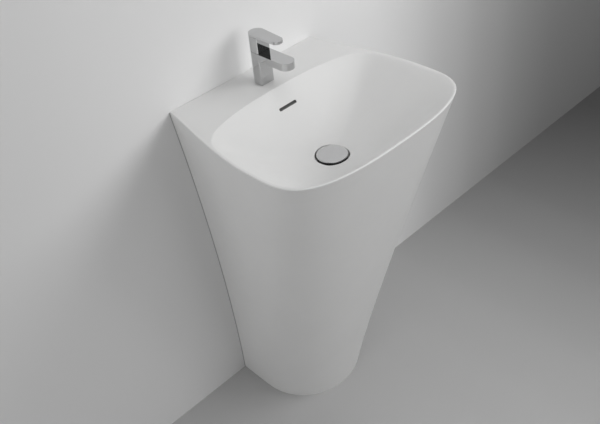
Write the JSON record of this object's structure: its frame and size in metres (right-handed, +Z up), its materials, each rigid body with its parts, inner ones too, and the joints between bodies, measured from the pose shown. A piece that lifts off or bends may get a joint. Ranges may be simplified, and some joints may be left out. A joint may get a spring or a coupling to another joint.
{
  "type": "pedestal sink",
  "caption": "Back-to-wall pedestal sink with a flared hollow column, dished bowl, single-lever mixer tap, push-open waste, bottle trap and stop valves.",
  "frame": {"origin": "middle of the bounding box, on the floor", "axes": "+Z up; +Y towards the wall, whose face is the back plane; +X to the right of someone who faces the wall"},
  "size_m": [0.51, 0.452, 0.9656],
  "materials": {
    "white_stone": "satin",
    "chrome": "polished",
    "black_rubber": "matt",
    "white_plastic": "satin",
    "brass": "machined",
    "braided_steel": "braided",
    "black_chrome": "polished",
    "steel": "machined"
  },
  "bodies": {
    "pedestal": {"pedestal_shell": "white_stone", "basin_bowl": "white_stone", "overflow_housing": "white_plastic", "overflow_gasket": "black_rubber", "overflow_hose": "white_plastic", "waste_body": "brass", "waste_gasket": "black_rubber", "waste_under_washer": "black_rubber", "overflow_collar": "white_plastic", "waste_backnut": "white_plastic", "click_cartridge": "brass", "trap_inlet_nut": "chrome", "trap_inlet_pipe": "chrome", "trap_head_nut": "chrome", "trap_head_washer": "black_rubber", "trap_body": "chrome", "trap_cup_seal": "black_rubber", "trap_cup": "chrome", "trap_outlet_nut": "chrome", "trap_outlet_washer": "black_rubber", "outlet_pipe": "chrome", "outlet_rosette": "chrome", "tap_body": "chrome", "tap_base_seal": "black_rubber", "aerator_housing": "chrome", "aerator_insert": "white_plastic", "tap_cartridge": "white_plastic", "cartridge_nut": "black_chrome", "tap_stud": "brass", "tap_horseshoe_seal": "black_rubber", "tap_horseshoe": "steel", "tap_clamp_nut": "brass", "hot_hose": "braided_steel", "cold_hose": "braided_steel", "hose_tails": "chrome", "hose_nuts": "chrome", "hot_valve": "chrome", "cold_valve": "chrome", "valve_rosettes": "chrome"},
    "plug": {"plug_cap": "chrome", "plug_seal": "black_rubber", "plug_spindle": "steel"},
    "tap_turret": {"cartridge_turret": "steel", "stem_pin": "steel"},
    "tap_handle": {"tap_lever": "chrome", "lever_screw": "steel", "lever_plug": "chrome", "cartridge_stem": "steel"},
    "hot_handle": {"hot_valve_handle": "chrome"},
    "cold_handle": {"cold_valve_handle": "chrome"}
  },
  "joints": [
    {"name": "plug_slide", "type": "slide", "parent": "pedestal", "child": "plug", "axis": [0, 0, 1], "range_m": [-0.006, 0]},
    {"name": "tap_swivel", "type": "hinge", "parent": "pedestal", "child": "tap_turret", "pos_m": [0, 0.163, 0.925], "axis": [0, 0, 1], "range_deg": [-45, 45]},
    {"name": "lever_lift", "type": "hinge", "parent": "tap_turret", "child": "tap_handle", "pos_m": [0, 0.163, 0.9256], "axis": [-1, 0, 0], "range_deg": [0, 18]},
    {"name": "hot_valve_turn", "type": "hinge", "parent": "pedestal", "child": "hot_handle", "pos_m": [-0.08, 0.166, 0.48], "axis": [0, -1, 0], "range_deg": [-90, 0]},
    {"name": "cold_valve_turn", "type": "hinge", "parent": "pedestal", "child": "cold_handle", "pos_m": [0.08, 0.166, 0.48], "axis": [0, -1, 0], "range_deg": [-90, 0]}
  ]
}
